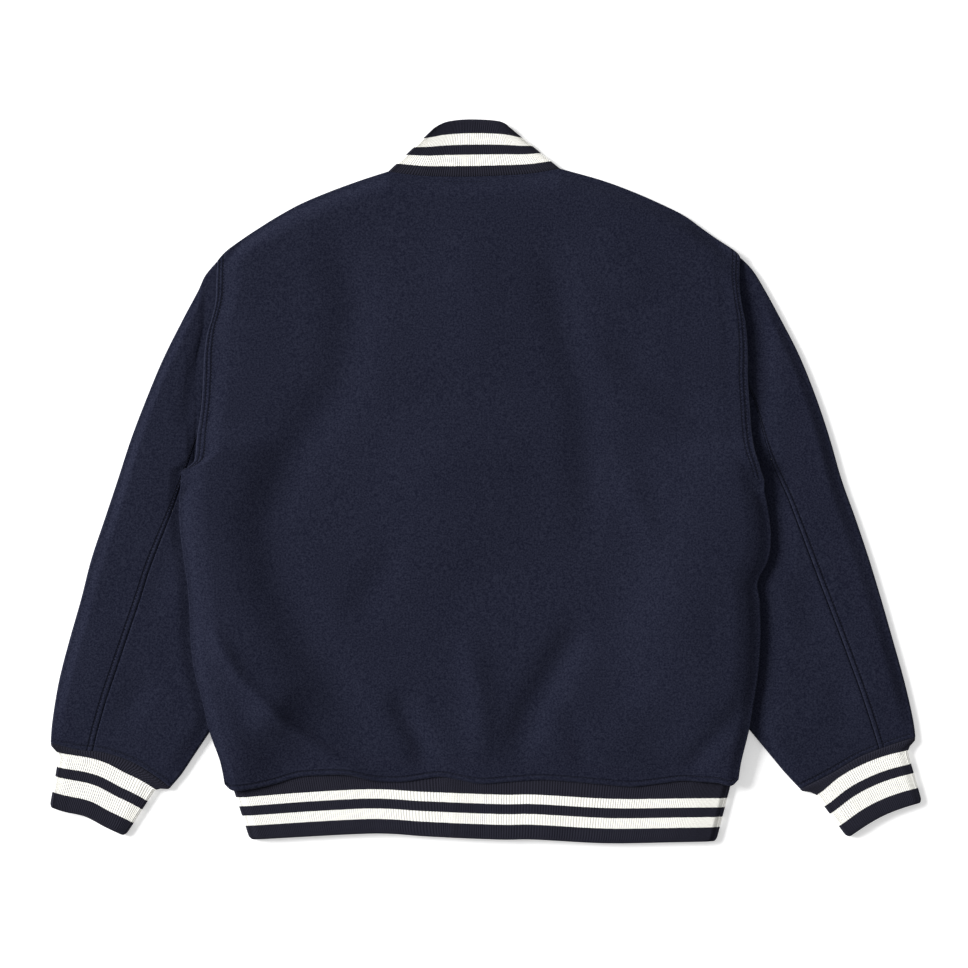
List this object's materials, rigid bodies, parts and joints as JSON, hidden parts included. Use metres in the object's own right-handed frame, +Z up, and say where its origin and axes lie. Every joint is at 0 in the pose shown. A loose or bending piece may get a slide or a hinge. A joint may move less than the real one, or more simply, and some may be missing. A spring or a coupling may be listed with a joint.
{
  "type": "varsity jacket",
  "caption": "Dark navy varsity jacket laid flat on its front, back up, with striped rib collar, cuffs and hem.",
  "frame": {"origin": "middle of the outline, on the surface that the jacket lies on", "axes": "+Z up from the surface, +Y towards the collar, +X towards the wearer's right sleeve"},
  "size_m": [0.924, 0.766, 0.0246],
  "materials": {
    "melton": "felted wool melton, dark navy",
    "rib_knit": "rib knit, navy with two off-white stripes",
    "snap": "dark satin snap cap"
  },
  "bodies": {
    "root": {"back_panel": "melton", "front_left": "melton", "front_right": "melton", "sleeve_top_left": "melton", "sleeve_under_left": "melton", "sleeve_top_right": "melton", "sleeve_under_right": "melton", "cuff_left": "rib_knit", "cuff_right": "rib_knit", "hem_rib": "rib_knit", "collar_rib": "rib_knit", "snap_1": "snap", "snap_2": "snap", "snap_3": "snap", "snap_4": "snap", "snap_5": "snap", "snap_6": "snap", "snap_7": "snap"}
  },
  "joints": []
}
